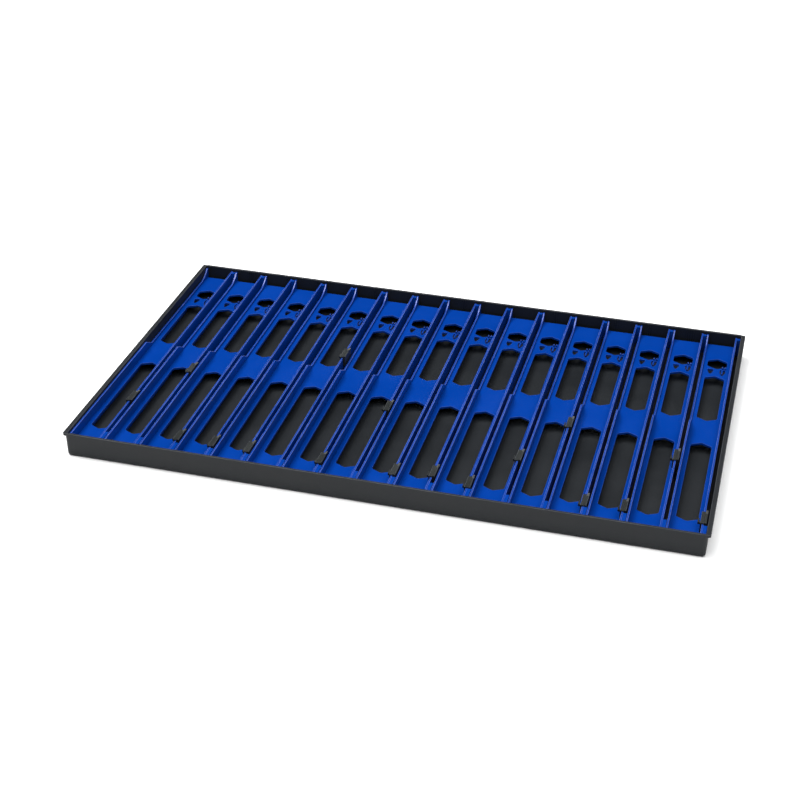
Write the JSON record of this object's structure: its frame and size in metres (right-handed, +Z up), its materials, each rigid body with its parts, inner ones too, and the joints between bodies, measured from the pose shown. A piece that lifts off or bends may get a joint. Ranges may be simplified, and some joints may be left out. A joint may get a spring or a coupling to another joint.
{
  "type": "winder tray",
  "caption": "Shallow rectangular tray packed with a row of flat slotted line winders, each with a clip that slides along its side wall.",
  "frame": {"origin": "centre of the tray's footprint, on the surface it stands on", "axes": "+X along the row of winders, +Y along each winder towards the end with the six-sided hole, +Z up"},
  "size_m": [0.4324, 0.266, 0.0176],
  "materials": {
    "tray_black": "satin black moulded plastic",
    "winder_blue": "semi-gloss royal-blue moulded plastic",
    "slider_dark": "satin dark grey moulded plastic"
  },
  "bodies": {
    "tray": {"tray": "tray_black"},
    "winder_01": {"winder_01": "winder_blue"},
    "slider_01": {"slider_01": "slider_dark"},
    "winder_02": {"winder_02": "winder_blue"},
    "slider_02": {"slider_02": "slider_dark"},
    "winder_03": {"winder_03": "winder_blue"},
    "slider_03": {"slider_03": "slider_dark"},
    "winder_04": {"winder_04": "winder_blue"},
    "slider_04": {"slider_04": "slider_dark"},
    "winder_05": {"winder_05": "winder_blue"},
    "slider_05": {"slider_05": "slider_dark"},
    "winder_06": {"winder_06": "winder_blue"},
    "slider_06": {"slider_06": "slider_dark"},
    "winder_07": {"winder_07": "winder_blue"},
    "slider_07": {"slider_07": "slider_dark"},
    "winder_08": {"winder_08": "winder_blue"},
    "slider_08": {"slider_08": "slider_dark"},
    "winder_09": {"winder_09": "winder_blue"},
    "slider_09": {"slider_09": "slider_dark"},
    "winder_10": {"winder_10": "winder_blue"},
    "slider_10": {"slider_10": "slider_dark"},
    "winder_11": {"winder_11": "winder_blue"},
    "slider_11": {"slider_11": "slider_dark"},
    "winder_12": {"winder_12": "winder_blue"},
    "slider_12": {"slider_12": "slider_dark"},
    "winder_13": {"winder_13": "winder_blue"},
    "slider_13": {"slider_13": "slider_dark"},
    "winder_14": {"winder_14": "winder_blue"},
    "slider_14": {"slider_14": "slider_dark"},
    "winder_15": {"winder_15": "winder_blue"},
    "slider_15": {"slider_15": "slider_dark"},
    "winder_16": {"winder_16": "winder_blue"},
    "slider_16": {"slider_16": "slider_dark"},
    "winder_17": {"winder_17": "winder_blue"},
    "slider_17": {"slider_17": "slider_dark"}
  },
  "joints": [
    {"name": "winder_01_lift", "type": "slide", "parent": "tray", "child": "winder_01", "axis": [0, 0, 1], "range_m": [0, 0.03]},
    {"name": "slider_01_slide", "type": "slide", "parent": "winder_01", "child": "slider_01", "axis": [0, 1, 0], "range_m": [-0.041, 0.1902]},
    {"name": "winder_02_lift", "type": "slide", "parent": "tray", "child": "winder_02", "axis": [0, 0, 1], "range_m": [0, 0.03]},
    {"name": "slider_02_slide", "type": "slide", "parent": "winder_02", "child": "slider_02", "axis": [0, 1, 0], "range_m": [-0.089, 0.1422]},
    {"name": "winder_03_lift", "type": "slide", "parent": "tray", "child": "winder_03", "axis": [0, 0, 1], "range_m": [0, 0.03]},
    {"name": "slider_03_slide", "type": "slide", "parent": "winder_03", "child": "slider_03", "axis": [0, 1, 0], "range_m": [-0.002, 0.2292]},
    {"name": "winder_04_lift", "type": "slide", "parent": "tray", "child": "winder_04", "axis": [0, 0, 1], "range_m": [0, 0.03]},
    {"name": "slider_04_slide", "type": "slide", "parent": "winder_04", "child": "slider_04", "axis": [0, 1, 0], "range_m": [-0.001, 0.2302]},
    {"name": "winder_05_lift", "type": "slide", "parent": "tray", "child": "winder_05", "axis": [0, 0, 1], "range_m": [0, 0.03]},
    {"name": "slider_05_slide", "type": "slide", "parent": "winder_05", "child": "slider_05", "axis": [0, 1, 0], "range_m": [-0.001, 0.2302]},
    {"name": "winder_06_lift", "type": "slide", "parent": "tray", "child": "winder_06", "axis": [0, 0, 1], "range_m": [0, 0.03]},
    {"name": "slider_06_slide", "type": "slide", "parent": "winder_06", "child": "slider_06", "axis": [0, 1, 0], "range_m": [-0.14, 0.0912]},
    {"name": "winder_07_lift", "type": "slide", "parent": "tray", "child": "winder_07", "axis": [0, 0, 1], "range_m": [0, 0.03]},
    {"name": "slider_07_slide", "type": "slide", "parent": "winder_07", "child": "slider_07", "axis": [0, 1, 0], "range_m": [-0.001, 0.2302]},
    {"name": "winder_08_lift", "type": "slide", "parent": "tray", "child": "winder_08", "axis": [0, 0, 1], "range_m": [0, 0.03]},
    {"name": "slider_08_slide", "type": "slide", "parent": "winder_08", "child": "slider_08", "axis": [0, 1, 0], "range_m": [-0.077, 0.1542]},
    {"name": "winder_09_lift", "type": "slide", "parent": "tray", "child": "winder_09", "axis": [0, 0, 1], "range_m": [0, 0.03]},
    {"name": "slider_09_slide", "type": "slide", "parent": "winder_09", "child": "slider_09", "axis": [0, 1, 0], "range_m": [-0.001, 0.2302]},
    {"name": "winder_10_lift", "type": "slide", "parent": "tray", "child": "winder_10", "axis": [0, 0, 1], "range_m": [0, 0.03]},
    {"name": "slider_10_slide", "type": "slide", "parent": "winder_10", "child": "slider_10", "axis": [0, 1, 0], "range_m": [-0.006, 0.2252]},
    {"name": "winder_11_lift", "type": "slide", "parent": "tray", "child": "winder_11", "axis": [0, 0, 1], "range_m": [0, 0.03]},
    {"name": "slider_11_slide", "type": "slide", "parent": "winder_11", "child": "slider_11", "axis": [0, 1, 0], "range_m": [0, 0.2312]},
    {"name": "winder_12_lift", "type": "slide", "parent": "tray", "child": "winder_12", "axis": [0, 0, 1], "range_m": [0, 0.03]},
    {"name": "slider_12_slide", "type": "slide", "parent": "winder_12", "child": "slider_12", "axis": [0, 1, 0], "range_m": [-0.04, 0.1912]},
    {"name": "winder_13_lift", "type": "slide", "parent": "tray", "child": "winder_13", "axis": [0, 0, 1], "range_m": [0, 0.03]},
    {"name": "slider_13_slide", "type": "slide", "parent": "winder_13", "child": "slider_13", "axis": [0, 1, 0], "range_m": [-0.09, 0.1412]},
    {"name": "winder_14_lift", "type": "slide", "parent": "tray", "child": "winder_14", "axis": [0, 0, 1], "range_m": [0, 0.03]},
    {"name": "slider_14_slide", "type": "slide", "parent": "winder_14", "child": "slider_14", "axis": [0, 1, 0], "range_m": [0, 0.2312]},
    {"name": "winder_15_lift", "type": "slide", "parent": "tray", "child": "winder_15", "axis": [0, 0, 1], "range_m": [0, 0.03]},
    {"name": "slider_15_slide", "type": "slide", "parent": "winder_15", "child": "slider_15", "axis": [0, 1, 0], "range_m": [-0.001, 0.2302]},
    {"name": "winder_16_lift", "type": "slide", "parent": "tray", "child": "winder_16", "axis": [0, 0, 1], "range_m": [0, 0.03]},
    {"name": "slider_16_slide", "type": "slide", "parent": "winder_16", "child": "slider_16", "axis": [0, 1, 0], "range_m": [-0.069, 0.1622]},
    {"name": "winder_17_lift", "type": "slide", "parent": "tray", "child": "winder_17", "axis": [0, 0, 1], "range_m": [0, 0.03]},
    {"name": "slider_17_slide", "type": "slide", "parent": "winder_17", "child": "slider_17", "axis": [0, 1, 0], "range_m": [-0.001, 0.2302]}
  ]
}
